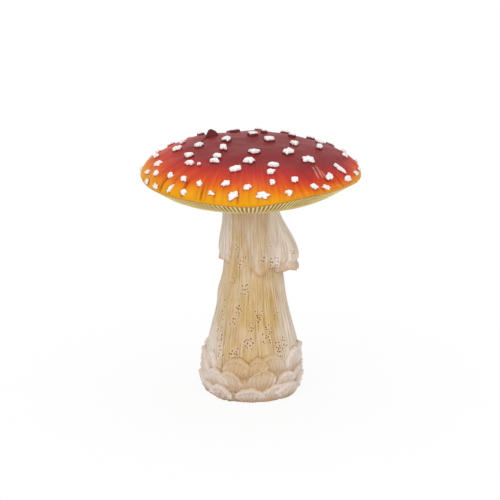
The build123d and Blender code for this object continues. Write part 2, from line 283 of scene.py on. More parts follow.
# painted highlight: pale lines along small ridges on the right of the dome, broken up by the streaks
painted_ridge_highlight = add(tree, "ShaderNodeAttribute", {"attribute_name": "painted_ridge_highlight"}).outputs["Fac"]
broken = add(tree, "ShaderNodeMapRange", None, streak, 0.35, 0.6, 0.35, 0.95)
pale = add(tree, "ShaderNodeMath", {"operation": "MULTIPLY"}, painted_ridge_highlight, broken)
highlighted = add(tree, "ShaderNodeMix", mix, _0=pale, _6=shaded.outputs[2], _7=linear("#E0A494"))
tree.links.new(highlighted.outputs[2], shader.inputs["Base Color"])
speckle = add(tree, "ShaderNodeTexNoise", Vector=where, Scale=1 / (0.9 * mm), Detail=3.0)
gloss = add(tree, "ShaderNodeMath", {"operation": "MULTIPLY_ADD"}, speckle, 0.2, 0.36)
tree.links.new(gloss.outputs[0], shader.inputs["Roughness"])
strokes = add(tree, "ShaderNodeMath", {"operation": "MULTIPLY"}, streak, 0.7)
relief = add(tree, "ShaderNodeMath", {"operation": "MULTIPLY_ADD"}, speckle, 0.3, strokes)
bumped = add(tree, "ShaderNodeBump", Strength=0.5, Distance=0.4 * mm, Height=relief)
tree.links.new(bumped.outputs[0], shader.inputs["Normal"])
shader.inputs["Specular IOR Level"].default_value = 0.13
shader.inputs["IOR"].default_value = 1.48
print("mixed", cap_paint.name)

# %% [markdown]
# ## Cap
#
# The real cap is a shallow dome with a rolled lip, dimpled on the crown, wavy at the rim, and lightly
# furrowed towards the margin. It could be sculpted freely, but a spun dome keeps the true size, and
# the waves and furrows are then small pushes that depend on the bearing.

# %% Outline the cap
lip_radius = 1.5
rim_inner_radius = 55.0
cap_wall = 4.7
hollow_rim_rise = 3.5
hollow_crown_radius = 20.0
hollow_crown_dip = 1.1
dome_steps = 126
lip_steps = 7

cap_outline = []
for step in range(dome_steps + 1):
    slope = math.pi / 2 * step / dome_steps
    cap_outline.append((cap_radius * math.sin(slope), rim_height + dome_rise * math.cos(slope)))
for step in range(1, lip_steps + 1):
    slope = math.pi / 2 * step / lip_steps
    lip_reach = cap_radius - lip_radius * (1 - math.cos(slope))
    cap_outline.append((lip_reach, rim_height - lip_radius * math.sin(slope)))
cap_outline += [
    (rim_inner_radius, rim_height - lip_radius),
    (rim_inner_radius, rim_height + hollow_rim_rise),
    (hollow_crown_radius, rim_height + dome_rise - cap_wall - hollow_crown_dip),
    (0.0, rim_height + dome_rise - cap_wall),
]
print("points in the cap's outline:", len(cap_outline))

# %% List the furrows, the crack and the painted ridge highlights
# bearing, depth and half width in millimetres, and where on the slope each one starts
furrows = [
    (-53.5, 1.0, 0.8, 0.6), (-46, 0.7, 0.6, 0.66), (-38, 1.0, 0.8, 0.6), (-26.7, 1.0, 0.7, 0.66),
    (-6.8, 0.8, 0.7, 0.68), (40.4, 0.7, 0.7, 0.76), (43, 0.4, 0.5, 0.48), (46.5, 0.4, 0.5, 0.48),
]
furrow_spacing = 5
furrow_draw = random.Random(3)
for number in range(360 // furrow_spacing):
    bearing = furrow_spacing * number - 180 + furrow_draw.uniform(-2, 2)
    depth = furrow_draw.uniform(0.12, 0.5)
    furrows.append((bearing, depth, furrow_draw.uniform(0.5, 0.9), furrow_draw.uniform(0.6, 0.82)))
furrows_near = {
    degree: [furrow for furrow in furrows if abs(turn_between(degree, furrow[0])) < 5]
    for degree in range(-180, 181)
}
crack = (at(-128, 29.5, 0), at(-100, 29.0, 0))
# pale lines painted on the dome as highlights of small ridges, which are not modelled
highlight_ridges = [
    (at(46.7, 47.0, 0), at(42.3, 55.6, 0)),
    (at(50.6, 46.8, 0), at(45.6, 55.6, 0)),
    (at(49.9, 50.9, 0), at(47.6, 56.2, 0)),
]
print("furrows:", len(furrows), "scrapes:", len(highlight_ridges))

# %% Spin the cap and push its furrows in
cap_segments = 640
wrinkle_width = 1.6
crown_dimple = 0.9
crack_depth = 0.9
crack_half_width = 0.7
highlight_ridge_half_width = 0.42
rim_lift = 3.0


def near_line(point, start, end, half_width):
    """1 on a line drawn on the dome, falling to 0 beyond its half width and past its ends."""
    level = Vector((point.x, point.y, 0))
    nearest, along = geometry.intersect_point_line(level, start, end)
    return bump((level - nearest).length, half_width) if 0 <= along <= 1 else 0


def rim_wave(bearing):
    """How far the rim rises or dips at this bearing: it lifts at the front right and sags at the front."""
    wave = rim_lift * ease(0, 34, bearing) * (1 - ease(56, 92, bearing))
    wave += 0.35 * bump(turn_between(bearing, -48), 30) - 0.5 * bump(turn_between(bearing, -6), 12)
    wave += 0.5 * math.sin(math.radians(3 * bearing + 40)) * ease(100, 140, abs(bearing))
    return wave


def cap_push(point):
    """How far a point of the dome is pushed out and up, and how deep in a furrow or crack it lies."""
    reach = math.hypot(point.x, point.y)
    share = math.atan2(reach / cap_radius, (point.z - rim_height) / dome_rise) / (math.pi / 2)
    bearing = bearing_of(point)
    out = 0.9 * grain(point, 21, 2) + 0.45 * grain(point, 9, 5) - crown_dimple * bump(reach, 15)
    wrinkle = noise.noise(at(bearing, cap_radius / wrinkle_width, 3 * share))
    out += 0.2 * wrinkle * ease(0.5, 0.72, share)
    furrow = 0
    for furrow_bearing, depth, half_width, start in furrows_near[round(bearing)]:
        gap = math.radians(turn_between(bearing, furrow_bearing)) * reach
        run = ease(start, start + 0.18, share) * (1 - 0.5 * ease(0.93, 1.03, share))
        furrow += depth * bump(gap, half_width) * run
    furrow += crack_depth * near_line(point, *crack, crack_half_width)
    return out - furrow, rim_wave(bearing) * ease(0.84, 1.0, share), furrow


cap = spun(cap_outline, cap_segments)
cap.normal_update()
furrow_shade_layer = cap.verts.layers.float.new("furrow")
ridge_highlight_layer = cap.verts.layers.float.new("painted_ridge_highlight")
pushes = []
for vert in cap.verts:
    reach = math.hypot(vert.co.x, vert.co.y)
    if vert.normal.z > -0.2 and vert.co.z >= rim_height - 0.01:
        out, up, furrow = cap_push(vert.co)
        pushes.append((vert, vert.normal * out + Vector((0, 0, up))))
        # painted shade: the depth of each furrow also darkens the paint in it
        vert[furrow_shade_layer] = min(furrow * 0.8, 0.9)
        # painted highlight: marks the pale lines of the small ridges
        vert[ridge_highlight_layer] = max(near_line(vert.co, *highlight_ridge, highlight_ridge_half_width) for highlight_ridge in highlight_ridges)
    elif reach > rim_inner_radius + 1:
        pushes.append((vert, Vector((0, 0, rim_wave(bearing_of(vert.co))))))
for vert, push in pushes:
    vert.co += push
finished(cap, "cap", cap_paint, "cap_paint", "cap_shell")

# %% [markdown]
# ## Gills
#
# Under the cap, thin radial blades hang like pages between the collar and the rim. Modelling each one
# apart would be slow to render, so a bowl is spun with six columns of points to a blade, and the
# columns between two blades are pushed up. Half a millimetre is enough: deeper gaps would hide behind
# the blades at the sides. Gaps this shallow cast little shade, so they are painted darker as painted
# shade, and the crests keep a pale dry-brushed yellow.

# %% Mix the gill paint
gill_paint, tree, shader, where = new_paint("matte_gill_paint_with_painted_gap_shade")
# painted shade: the gaps between the blades are painted darker, because the shallow gaps cast little shade
depth = add(tree, "ShaderNodeAttribute", {"attribute_name": "gap"}).outputs["Fac"]
mottle = add(tree, "ShaderNodeTexNoise", Vector=where, Scale=1 / (5 * mm), Detail=3.0)
uneven = add(tree, "ShaderNodeMath", {"operation": "MULTIPLY_ADD"}, mottle, 0.5, -0.25)
shifted = add(tree, "ShaderNodeMath", {"operation": "ADD"}, depth, uneven)
colour = add(tree, "ShaderNodeValToRGB", None, shifted, stops=[
    (0.0, "#F3E3A0"), (0.35, "#E4CC82"), (0.7, "#BA9648"), (1.0, "#927030"),
])
tree.links.new(colour.outputs[0], shader.inputs["Base Color"])
shader.inputs["Roughness"].default_value = 0.75
print("mixed", gill_paint.name)

# %% Outline the gill bowl
collar_bore = 14.25
collar_radius = 18.85
collar_top = 123.0
disc_radius = 61.2
disc_top = 126.3
register_outer = 54.75
register_inner = 51.25
plate_top = 115.0
collar_seat = 112.05
# reach and drop below the rim of the gills' crests, from the collar to the rim
gill_curve = [
    (18.85, 15.95), (22, 15.5), (25, 15.0), (30, 14.0), (35, 12.8), (40, 11.4), (45, 9.8),
    (50, 7.9), (54, 6.0), (57, 4.4), (59.5, 2.9), (61.2, 1.9),
]
gill_outline = [(reach, rim_height - drop) for reach, drop in gill_curve]
gill_outline += [
    (disc_radius - 0.2, disc_top), (register_outer, disc_top), (register_inner, disc_top),
    (collar_radius, plate_top), (collar_radius, collar_top), (collar_bore, collar_top),
    (collar_bore, collar_seat),
]
print("points in the bowl's outline:", len(gill_outline))

# %% Spin the gill bowl and part the gills
gill_count = 150
columns = 6
gill_depth = 0.5
gills = spun(gill_outline, gill_count * columns, ring=True)
gap_shade_layer = gills.verts.layers.float.new("gap")
for vert in gills.verts:
    reach = math.hypot(vert.co.x, vert.co.y)
    if vert.co.z > disc_top - 0.1 or not collar_radius - 0.1 < reach < disc_radius + 0.1:
        continue
    crest = next(
        (high - (high - low) * (reach - near) / (far - near))
        for (near, high), (far, low) in zip(gill_curve, gill_curve[1:])
        if near - 0.01 <= reach <= far + 0.01
    )
    if abs(vert.co.z - (rim_height - crest)) > 0.05:
        continue
    wander = 0.12 * grain(vert.co, 9, 4)
    phase = (bearing_of(vert.co) / 360 * gill_count + wander) % 1.0
    gap = ease(0.2, 0.6, abs(phase - 0.5) * 2) * ease(collar_radius, collar_radius + 3, reach)
    shallow = 1 - 0.6 * ease(59, disc_radius, reach)
    # painted shade: darker in the gaps, and less so near the rim
    vert[gap_shade_layer] = gap * (0.25 + 0.75 * shallow)
    vert.co.z += gill_depth * gap * shallow + 0.1 * grain(vert.co, 3, 8) * shallow
for vert in gills.verts:
    reach = math.hypot(vert.co.x, vert.co.y)
    bearing = bearing_of(vert.co)
    tilt = math.sin(math.radians(bearing))
    vert.co.z += tilt * ease(22, 50, reach) + (rim_wave(bearing) - tilt) * ease(45, 60, reach)
finished(gills, "gills", gill_paint, "gill_paint", "gill_disc")

# %% [markdown]
# ## Stem paint
#
# The stem is beige with an ochre wash that settled in the fibres down the front, and it stays pale at
# the sides. Small dark pores are dotted over it, and their raised rims get a painted highlight. The
# paint is matte. Noise that is drawn out along the stem gives the brush strokes, and attributes on the
# mesh mark the pores, the painted highlights on their rims, and the hems, whose tint is partly painted
# shade.

# %% Mix the stem paint
stroke_width = 0.55
stroke_length = 17.0


def washed(name, stops, ochre, wash_reach):
    """Matte washed paint: strokes drawn upwards, a warm wash down the front that fades to the sides
    within this reach, dark pores with a painted highlight on their rims, and a hem tint that is partly
    painted shade."""
    paint, tree, shader, where = new_paint(name)
    flat = add(tree, "ShaderNodeVectorMath", {"operation": "MULTIPLY"}, where, (1, 1, 0))
    around = add(tree, "ShaderNodeVectorMath", {"operation": "NORMALIZE"}, flat)
    upright = add(
        tree, "ShaderNodeVectorMath", {"operation": "MULTIPLY"}, where, (0, 0, 1 / (stroke_length * mm)),
    )
    spread = [neck_radius / stroke_width] * 3
    drawn_out = add(tree, "ShaderNodeVectorMath", {"operation": "MULTIPLY_ADD"}, around, spread, upright)
    strokes = add(
        tree, "ShaderNodeTexNoise", Vector=drawn_out, Scale=1.0, Detail=5.0, Roughness=0.72, Distortion=0.25,
    )
    colour = add(tree, "ShaderNodeValToRGB", None, strokes, stops=stops)
    axes = add(tree, "ShaderNodeSeparateXYZ", None, where)
    side = add(tree, "ShaderNodeMath", {"operation": "ABSOLUTE"}, axes.outputs["X"])
    middle = add(tree, "ShaderNodeMapRange", None, side, wash_reach * mm, 0.6 * wash_reach * mm, 0.0, 1.0)
    low = add(tree, "ShaderNodeMapRange", None, axes.outputs["Z"], 90 * mm, 50 * mm, 0.7, 1.0)
    patches = add(tree, "ShaderNodeTexNoise", Vector=where, Scale=1 / (14 * mm), Detail=3.0)
    patchy = add(tree, "ShaderNodeMath", {"operation": "MULTIPLY_ADD"}, patches, 1.7, 0.05)
    lower = add(tree, "ShaderNodeMath", {"operation": "MULTIPLY"}, patchy, low)
    share = add(tree, "ShaderNodeMath", {"operation": "MULTIPLY", "use_clamp": True}, middle, lower)
    wash_marks_and_painted_light = add(tree, "ShaderNodeMix", multiply, _0=share, _6=colour, _7=linear(ochre))
    # pore rims get a painted highlight, pores are painted dark brown, and hems get a tint that is partly
    # painted shade
    for mark, tint in (("pore_rim_highlight", "#F6EBDC"), ("pore", "#8F5C1A"), ("hem_tint_and_shade", "#C4935F")):
        marked = add(tree, "ShaderNodeAttribute", {"attribute_name": mark}).outputs["Fac"]
        wash_marks_and_painted_light = add(tree, "ShaderNodeMix", mix, _0=marked, _6=wash_marks_and_painted_light.outputs[2], _7=linear(tint))
    tree.links.new(wash_marks_and_painted_light.outputs[2], shader.inputs["Base Color"])
    grit = add(tree, "ShaderNodeTexNoise", Vector=where, Scale=1 / (0.7 * mm), Detail=2.0)
    ridges = add(tree, "ShaderNodeMath", {"operation": "MULTIPLY"}, strokes, 0.8)
    relief = add(tree, "ShaderNodeMath", {"operation": "MULTIPLY_ADD"}, grit, 0.25, ridges)
    bumped = add(tree, "ShaderNodeBump", Strength=0.6, Distance=0.6 * mm, Height=relief)
    tree.links.new(bumped.outputs[0], shader.inputs["Normal"])
    shader.inputs["Roughness"].default_value = 0.8
    print("mixed", name)
    return paint


neck_radius = 16.0
stem_paint = washed("matte_washed_stem_paint", [
    (0.34, "#B4946C"), (0.43, "#D6C2A6"), (0.53, "#E8DACA"), (0.65, "#F4ECE6"),
], "#E6CE98", 21)
skirt_paint = washed("matte_washed_skirt_paint", [
    (0.34, "#BEA284"), (0.43, "#DBC9B4"), (0.53, "#E9DCD0"), (0.65, "#F4ECE6"),
], "#DFC696", 14)

# %% [markdown]
# ## Stem
#
# The stem swells into a bulb, bows a little to the right, and stands on a flat foot ring. It is spun
# from an outline whose flank is one smooth curve, and fibres and furrows are pushed in along it. The
# pores are real pits. The faces round each pore are cut finer first, because the rest of the mesh is
# too coarse for a dot this small.

# %% Spin the stem
foot_radius = 24.5
foot_rise = 7.0
bulb_radius = 26.7
bulb_top = 22.0
neck_start = 88.0
shoulder_height = 111.4
spigot_radius = 14.0
spigot_bore = 9.7
spigot_top = 121.0
vent_radius = 4.0
recess_radius = 17.0
recess_height = 1.5
floor_top = 7.5
stem_segments = 360
bulb_row = 1.5
flank_rows = 112
neck_row = 1.4
flank_handles = ((bulb_radius, 35.0), (neck_radius, 55.5))
flank = geometry.interpolate_bezier(
    (bulb_radius, bulb_top), *flank_handles, (neck_radius, neck_start), flank_rows,
)
outside = [(foot_radius, 0.0), (25.4, 1.5), (26.2, 4.0), (bulb_radius, foot_rise)]
outside += [(bulb_radius, foot_rise + bulb_row * step) for step in range(1, 10)]
outside += [tuple(point) for point in flank]
outside += [(neck_radius, neck_start + neck_row * step) for step in range(1, 17)]
outside += [(neck_radius, shoulder_height)]
inside = [
    (spigot_radius, shoulder_height), (spigot_radius, spigot_top), (spigot_bore, spigot_top),
    (spigot_bore, neck_start), (13.5, 65.5), (18.4, 40.5), (21.7, bulb_top), (19.5, floor_top),
    (vent_radius, floor_top), (vent_radius, recess_height), (recess_radius, recess_height),
    (recess_radius, 0.0),
]
stem = spun(outside + inside, stem_segments, ring=True)
print("stem rows:", len(outside) + len(inside))

# %% Press the fibres in
stem_bow = 0.8


def stem_reach(height):
    """Reach of the stem's outside at this height."""
    for (near_reach, near), (far_reach, far) in zip(outside, outside[1:]):
        if near <= height <= far and far > near:
            return near_reach + (far_reach - near_reach) * (height - near) / (far - near)
    return neck_radius


def stem_push(point):
    """How far a point of the stem's outside is pushed out."""
    out = 0.36 * fibre(point, 3.2, 32, 1.0) + 0.28 * fibre(point, 1.2, 16, 6.0)
    out -= 0.5 * max(0, 0.32 - abs(fibre(point, 6.5, 60, 3.0))) / 0.32
    out += 0.35 * grain(point, 14, 9)
    bearing = bearing_of(point)
    out += 0.9 * bump(turn_between(bearing, -88), 24) * bump(point.z - 60, 6)
    out += 0.7 * bump(turn_between(bearing, 88), 30) * bump(point.z - 67, 14)
    return out * ease(12, 26, point.z) * (1 - 0.6 * ease(100, 111, point.z))


def bow(shape):
    """Bows a shape a little to the right between the foot and the cap."""
    for vert in shape.verts:
        vert.co.x += stem_bow * ease(2, 30, vert.co.z) * (1 - ease(98, 111, vert.co.z))


for vert in stem.verts:
    reach = math.hypot(vert.co.x, vert.co.y)
    if 0.01 < vert.co.z < shoulder_height - 0.01 and reach > stem_reach(vert.co.z) - 0.5:
        vert.co += at(bearing_of(vert.co), stem_push(vert.co), 0)
print("fibres pressed into", len(stem.verts), "points")

# %% Pit the stem with pores
pore_spacing = 1.1
pore_depth = 0.35


def drawn_pores(clusters, draw):
    """Scatters pores in clusters of (bearing, height, number, spread): a bearing, height and size each."""
    pores = []
    for bearing, height, count, spread in clusters:
        taken = []
        for _ in range(2 * count):
            high = height + spread * draw.uniform(-1.2, 1.2)
            along = spread * draw.uniform(-1, 1)
            size = draw.uniform(0.36, 0.62)
            clear = all(
                math.hypot(high - other_high, along - other_along) > pore_spacing
                for other_high, other_along in taken
            )
            if clear:
                taken.append((high, along))
                pores.append((bearing + math.degrees(along / stem_reach(high)), high, size))
    return pores


def pitted(shape, pores):
    """Cuts the outer faces near each pore finer, presses the pores in, and marks them, and their raised rims
    for a painted highlight.
    """
    pore_layer = shape.verts.layers.float.new("pore")
    rim_highlight_layer = shape.verts.layers.float.new("pore_rim_highlight")
    pores_near = {
        level: [pore for pore in pores if abs(pore[1] - level) < 3] for level in range(-5, 130)
    }

    def gaps(point):
        """Distance along the surface to each pore near this height, and its size."""
        reach = math.hypot(point.x, point.y)
        if reach < stem_reach(point.z) - 1.6:
            return []
        bearing = bearing_of(point)
        return [
            (math.hypot(math.radians(turn_between(bearing, pore_bearing)) * reach, point.z - high), size)
            for pore_bearing, high, size in pores_near[round(point.z)]
        ]

    edges = set()
    for face in shape.faces:
        if any(gap < size + 0.7 for gap, size in gaps(face.calc_center_median())):
            edges.update(face.edges)
    bmesh.ops.subdivide_edges(shape, edges=list(edges), cuts=2, use_grid_fill=True)
    for vert in shape.verts:
        close = gaps(vert.co)
        pit = max((bump(gap, size) for gap, size in close), default=0)
        rim = max((bump(gap - 1.7 * size, 0.4 * size) for gap, size in close), default=0)
        vert[pore_layer] = ease(0.3, 0.75, pit)
        # painted highlight: the raised rim round each pore is marked to be painted pale
        vert[rim_highlight_layer] = 0.25 * rim * (1 - ease(0.1, 0.4, pit))
        vert.co += at(bearing_of(vert.co), 0.1 * rim - pore_depth * pit, 0)


pore_draw = random.Random(21)
stem_clusters = [
    (-33, 89, 2, 1.2), (-23, 81, 8, 3.0), (-43, 69.5, 4, 2.2), (-15, 65, 7, 2.4), (-23, 53, 6, 2.4),
    (-32, 47, 4, 2.2), (9, 50, 8, 2.6), (-2, 44, 5, 2.2), (27, 43, 8, 2.6), (43, 51, 3, 2.0),
    (-5, 35, 9, 2.6), (20, 37.5, 7, 2.6), (-24, 29, 9, 3.0), (39, 32, 6, 2.6), (49, 34, 4, 2.2),
    (39, 28.4, 5, 2.2), (14, 24, 3, 1.6), (-55, 55, 3, 2.0), (-54, 48.6, 4, 2.2), (-55, 41, 3, 2.2),
    (-52, 35, 7, 3.2), (-44, 27, 6, 2.6),
]
for _ in range(24):
    back_bearing = pore_draw.uniform(85, 275)
    stem_clusters.append((back_bearing, pore_draw.uniform(27, 74), pore_draw.randint(3, 8), 2.6))
pitted(stem, drawn_pores(stem_clusters, pore_draw))
bow(stem)
finished(stem, "stem_skin", stem_paint, "stem_paint", "stem")

# %% [markdown]
# ## Skirt
#
# The veil that once joined cap and stem hangs from the neck in torn tongues. Each is a strip of clay
# pressed on at the top and at its edges and teased away below, so it starts as a grid, is wrapped
# round the neck, flares, gets pleats that deepen downwards and a ragged hem, and then a thickness.

# %% Hang the torn skirt
skirt_top = 111.0
skirt_thickness = 1.3
skirt_clusters = [(18, 83, 3, 1.2), (42, 80.3, 9, 2.8), (67, 85, 3, 1.2), (34, 90, 1, 0.5)]
skirt_pores = drawn_pores(skirt_clusters, pore_draw)


def skirt_flap(name, top_edges, hem_edges, drop, stand, rest, fold, tip, tip_depth, seed):
    """One tongue of the veil: the bearings of its left and right edges at the top and at the hem,
    its drop, the stand-off of its middle and of its edges, the depth of the fold above its hem, and
    the bearing where the hem hangs lowest, with its extra depth."""
    draw = random.Random(seed)
    phases = [draw.uniform(0, math.tau) for _ in range(3)]
    shape = bmesh.new()
    hem_tint_and_shade_layer = shape.verts.layers.float.new("hem_tint_and_shade")
    bmesh.ops.create_grid(shape, x_segments=72, y_segments=64, size=1)
    for vert in shape.verts:
        across = vert.co.x
        down = (1 - vert.co.y) / 2
        share = (across + 1) / 2
        top_bearing = top_edges[0] + (top_edges[1] - top_edges[0]) * share
        hem_bearing = hem_edges[0] + (hem_edges[1] - hem_edges[0]) * share
        angle = top_bearing + (hem_bearing - top_bearing) * ease(0.1, 1.0, down)
        tear = tip_depth * bump(hem_bearing - tip, 12) + 0.7 * math.sin(5.5 * across + phases[0])
        tear += 0.9 * noise.noise(Vector((across * 7, seed * 3.1, 0)))
        height = skirt_top - drop * down - tear * down**3
        bellied = 1 - ease(0.45, 1.0, abs(across))
        flare = (rest + (stand - rest) * bellied) * ease(0.1, 0.82, down)
        pleat = 0.3 * math.sin(across * 8 + phases[2]) + 0.2 * math.sin(across * 19 + phases[1])
        reach = stem_reach(height) + 0.3 + flare + pleat * ease(0.05, 0.5, down) * (0.3 + 0.7 * bellied)
        reach -= 0.9 * ease(0.85, 1.0, abs(across)) + 0.4 * ease(0.9, 1.0, down)
        crease = fold * bump(down - 0.9, 0.045)
        place = at(angle, reach - crease, height)
        vert.co = place + at(angle, 0.36 * fibre(place, 1.1, 18, 11.0 + seed), 0)
        # the orange-brown along the hem is partly the tongue's own tint and partly painted shade under the
        # curled hem, and the fold above the hem is painted darker as painted shade
        vert[hem_tint_and_shade_layer] = (0.35 + 0.15 * fold) * ease(0.92, 1.0, down) + 0.12 * crease
    pitted(shape, skirt_pores)
    bmesh.ops.solidify(shape, geom=shape.faces[:], thickness=skirt_thickness)
    bmesh.ops.recalc_face_normals(shape, faces=shape.faces)
    bow(shape)
    finished(shape, f"tongue_{name}", skirt_paint, "skirt_paint", f"skirt_flap_{name}")


tongues = [
    ("front", (-21, 70), (-5, 72), 33.6, 2.8, 0.8, 0.4, 15, 3.6),
    ("right", (45, 131), (49, 128), 36.6, 10.0, 1.4, 2.2, 70, 0.3),
    ("back_right", (128, 177), (131, 174), 32.0, 3.4, 0.3, 0.0, 150, 2.0),
    ("back_left", (178, 221), (177, 219), 34.0, 2.6, 0.3, 0.0, 190, 2.0),
    ("left", (-136, -40), (-134, -50), 31.4, 2.8, 1.0, 0.8, -80, 0.3),
]
for seed, (name, *sizes) in enumerate(tongues):
    skirt_flap(name, *sizes, seed)

# %% [markdown]
# ## Scales
#
# Petal-like scales overlap upwards round the bulb, pressed on in three staggered rows. Each is a fleshy
# pad with a rounded edge: a small grid is wrapped on the bulb, swells towards its tip, is ribbed like a
# fan, and rolls back to the bulb within a millimetre or two of its outline. A mesh attribute marks the
# root and the furrows between the ribs as painted shade, the lip of the rolled edge as a painted
# highlight, and the foot of the rolled edge for a brown that is partly wash and partly painted shade.

# %% Mix the scale paint
scale_paint, tree, shader, where = new_paint("matte_washed_scale_paint_with_painted_shade")
# painted shade and highlight: the crease mark darkens the roots, the furrows between the ribs and the foot
# of the rolled edge, and paints the lip paler
crease = add(tree, "ShaderNodeAttribute", {"attribute_name": "crease"}).outputs["Fac"]
mottle = add(tree, "ShaderNodeTexNoise", Vector=where, Scale=1 / (4 * mm), Detail=4.0, Roughness=0.6)
uneven = add(tree, "ShaderNodeMath", {"operation": "MULTIPLY_ADD"}, mottle, 0.7, -0.35)
shifted = add(tree, "ShaderNodeMath", {"operation": "ADD"}, crease, uneven)
colour = add(tree, "ShaderNodeValToRGB", None, shifted, stops=[
    (0.0, "#EADCD2"), (0.35, "#DCC9B9"), (0.7, "#CDAE8E"), (1.0, "#A87A4C"),
])
axes = add(tree, "ShaderNodeSeparateXYZ", None, where)
side = add(tree, "ShaderNodeMath", {"operation": "ABSOLUTE"}, axes.outputs["X"])
middle = add(tree, "ShaderNodeMapRange", None, side, 22 * mm, 10 * mm, 0.0, 1.0)
high = add(tree, "ShaderNodeMapRange", None, axes.outputs["Z"], 4 * mm, 20 * mm, 0.0, 0.95)
share = add(tree, "ShaderNodeMath", {"operation": "MULTIPLY"}, middle, high)
wash = add(tree, "ShaderNodeMix", multiply, _0=share, _6=colour, _7=linear("#ECD8AE"))
tree.links.new(wash.outputs[2], shader.inputs["Base Color"])
grit = add(tree, "ShaderNodeTexNoise", Vector=where, Scale=1 / (0.8 * mm), Detail=3.0)
bumped = add(tree, "ShaderNodeBump", Strength=0.5, Distance=0.35 * mm, Height=grit)
tree.links.new(bumped.outputs[0], shader.inputs["Normal"])
shader.inputs["Roughness"].default_value = 0.78
print("mixed", scale_paint.name)

# %% Press on the scales
scales_per_row = 12
scale_width = 16.0
scale_edge = 1.8
scale_bedding = 0.7
scale_thickness = 0.6
floor_clearance = 0.05
lumpy_bearing = -38
# name, height of the roots, length, and how far the tips stand off the bulb
scale_rows = [("lower", 0.4, 12.2, 2.2), ("middle", 7.2, 13.0, 1.7), ("upper", 14.5, 13.2, 0.7)]
scale_draw = random.Random(11)

for row, (row_name, root, row_length, stand) in enumerate(scale_rows):
    shape = bmesh.new()
    crease_shade_layer = shape.verts.layers.float.new("crease")
    for number in range(scales_per_row):
        bearing = 360 / scales_per_row * (number + row % 2 / 2) + scale_draw.uniform(-6, 6)
        width = (scale_width + 1.5 * (row == 0)) * scale_draw.uniform(0.8, 1.2)
        length = row_length - scale_draw.uniform(-2.0, 3.0)
        twist = scale_draw.uniform(-1.4, 1.4)
        proud = scale_draw.uniform(-0.5, 0.5)
        point = scale_draw.uniform(1.2, 2.4)
        lumps = bump(turn_between(bearing, lumpy_bearing), 18) if row == 0 else 0
        for vert in bmesh.ops.create_grid(shape, x_segments=40, y_segments=36, size=1)["verts"]:
            across = math.sin(vert.co.x * math.pi / 2)
            up = 1 - ((1 - vert.co.y) / 2) ** 1.6
            head = 1 - 0.46 * abs(across) ** point + 0.05 * grain((across * 3, number, row), 1.0)
            height = root + length * up * head
            half_width = width / 2 * (0.72 + 0.28 * ease(0, 0.4, up))
            inset = min(half_width * (1 - abs(across)), length * head * (1 - up)) / scale_edge
            rolled = math.sqrt(1 - (1 - min(inset, 1)) ** 2)
            fan = across * 26 * (1.1 - 0.3 * up) + 3 * twist + 2 * grain((across * 2, up, number), 1.0)
            rib = math.sin(fan)
            swell = 0.45 * grain((across * 2, up * 2, number + row * 20), 1.0)
            thick = 0.7 + proud + stand * up**1.3 + 0.5 * math.sin(math.pi * up) - 0.7 * abs(across) ** 2.4
            thick += swell + 0.32 * rib + 0.7 * twist * across * up
            lip = bump(inset - 0.9, 0.5) * ease(0.3, 0.6, up)
            thick += 0.9 * lip
            reach = stem_reach(height) - scale_bedding + (scale_bedding + max(thick, 0.3)) * rolled
            if row == 0:
                reach += bump(turn_between(bearing, 35), 40) * (1 - up)
            sideways = across * half_width + 3.0 * twist * up
            place = at(bearing + math.degrees(sideways / bulb_radius), reach, max(height, 0.3))
            lump = 1.4 * grain(place, 2.3, 7) + 1.0 * grain(place, 1.2, 3)
            vert.co = place + at(bearing, lumps * lump * rolled, 0)
            # painted shade at the root and between the ribs, a painted highlight on the lip, and at the foot
            # of the rolled edge a brown that is partly wash and partly painted shade
            shade = 0.5 * (1 - ease(0.1, 0.65, up)) + 0.28 * (0.5 - 0.5 * rib) + 0.1 * swell - 0.3 * lip
            wash_and_shade = 0.75 + 0.5 * grain(place, 4, 6)
            vert[crease_shade_layer] = max(shade, wash_and_shade * (1 - ease(0.2, 0.75, rolled)))
    bmesh.ops.solidify(shape, geom=shape.faces[:], thickness=scale_thickness)
    bmesh.ops.recalc_face_normals(shape, faces=shape.faces)
    bow(shape)
    for vert in shape.verts:
        vert.co.z = max(vert.co.z, floor_clearance)
    nodes = [f"scale_{row_name}_{number + 1:02d}" for number in range(scales_per_row)]
    finished(shape, f"scales_{row_name}", scale_paint, "scale_paint", *nodes)

# %% [markdown]
# ## Warts
#
# The warts are chips of clay on the dome. Their tops were dry-brushed white, and their sides kept the
# cap's colour, darkened partly by a wash and partly as painted shade under the chips. Each solid chip
# says where a wart sits and how large it is. In its place goes a small sphere, squared off, skewed,
# made ragged and pressed into the dome. One chip at the back left stands up as a bare shard.

# %% Mix the wart paint
wart_paint, tree, shader, where = new_paint("matte_dry_brushed_white_on_cap_paint")
colour, streak = cap_colour(tree, where)
# the bare sides are the cap colour darkened, partly a wash and partly painted shade under the chips
sides_wash_and_shade = add(tree, "ShaderNodeMix", multiply, _0=1.0, _6=colour, _7=linear("#B88C82"))
cracks = add(
    tree, "ShaderNodeTexVoronoi", {"feature": "DISTANCE_TO_EDGE"}, Vector=where, Scale=1 / (1.6 * mm),
)
white = add(tree, "ShaderNodeValToRGB", None, cracks, stops=[
    (0.0, "#D6CAC7"), (0.05, "#F4F1EF"), (0.12, "#FBFAF9"),
])
brushed = add(tree, "ShaderNodeAttribute", {"attribute_name": "brushed"}).outputs["Fac"]
mixed = add(tree, "ShaderNodeMix", mix, _0=brushed, _6=sides_wash_and_shade.outputs[2], _7=white)
tree.links.new(mixed.outputs[2], shader.inputs["Base Color"])
shader.inputs["Roughness"].default_value = 0.7
bumped = add(tree, "ShaderNodeBump", Strength=0.5, Distance=0.3 * mm, Height=cracks)
tree.links.new(bumped.outputs[0], shader.inputs["Normal"])
print("mixed", wart_paint.name)


